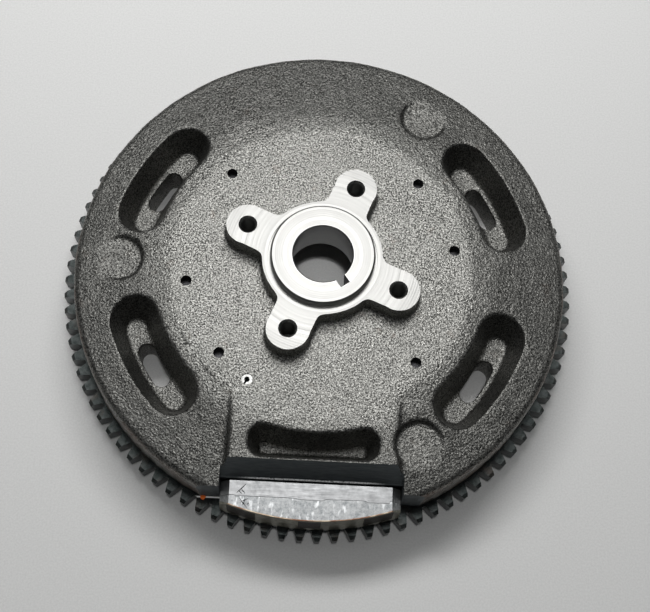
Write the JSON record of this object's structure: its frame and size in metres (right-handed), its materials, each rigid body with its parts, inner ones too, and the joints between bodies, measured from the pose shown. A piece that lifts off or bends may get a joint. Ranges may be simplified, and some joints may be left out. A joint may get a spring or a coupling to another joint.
{
  "type": "engine flywheel",
  "caption": "Small-engine flywheel with starter ring gear, tapered keyed bore, four-lug fan seat, rim ignition magnet and alternator rotor behind the web.",
  "frame": {"origin": "on the crankshaft axis, in the plane of the rim's rear face", "axes": "+Z along the crankshaft axis towards the fan side; the ignition magnet faces -Y"},
  "size_m": [0.245, 0.245, 0.0515],
  "materials": {
    "cast_iron": "as-cast, grainy, with machined lugs, boss, bore and rear face",
    "gear_steel": "heat-treated, blue-grey",
    "carrier_alloy": "die-cast, face milled",
    "bar_steel": "milled",
    "magnet_dark": "sintered, dark",
    "pole_steel": "laminated steel, light surface rust",
    "screw_steel": "black oxide",
    "pin_steel": "bright spring steel",
    "ring_steel": "turned",
    "cage_plastic": "moulded, matt",
    "rotor_magnet": "ground ferrite"
  },
  "bodies": {
    "root": {"flywheel_casting": "cast_iron", "starter_ring_gear": "gear_steel", "magnet_carrier": "carrier_alloy", "magnet_backing_bar": "bar_steel", "ignition_magnet": "magnet_dark", "pole_shoe_leading": "pole_steel", "pole_shoe_trailing": "pole_steel", "magnet_screws": "screw_steel", "timing_pin": "pin_steel", "rotor_plate": "ring_steel", "rotor_band": "ring_steel", "magnet_cage": "cage_plastic", "rotor_screws": "screw_steel", "rotor_magnet_1": "rotor_magnet", "rotor_magnet_2": "rotor_magnet", "rotor_magnet_3": "rotor_magnet", "rotor_magnet_4": "rotor_magnet", "rotor_magnet_5": "rotor_magnet", "rotor_magnet_6": "rotor_magnet", "rotor_magnet_7": "rotor_magnet", "rotor_magnet_8": "rotor_magnet", "rotor_magnet_9": "rotor_magnet", "rotor_magnet_10": "rotor_magnet", "rotor_magnet_11": "rotor_magnet", "rotor_magnet_12": "rotor_magnet"}
  },
  "joints": []
}
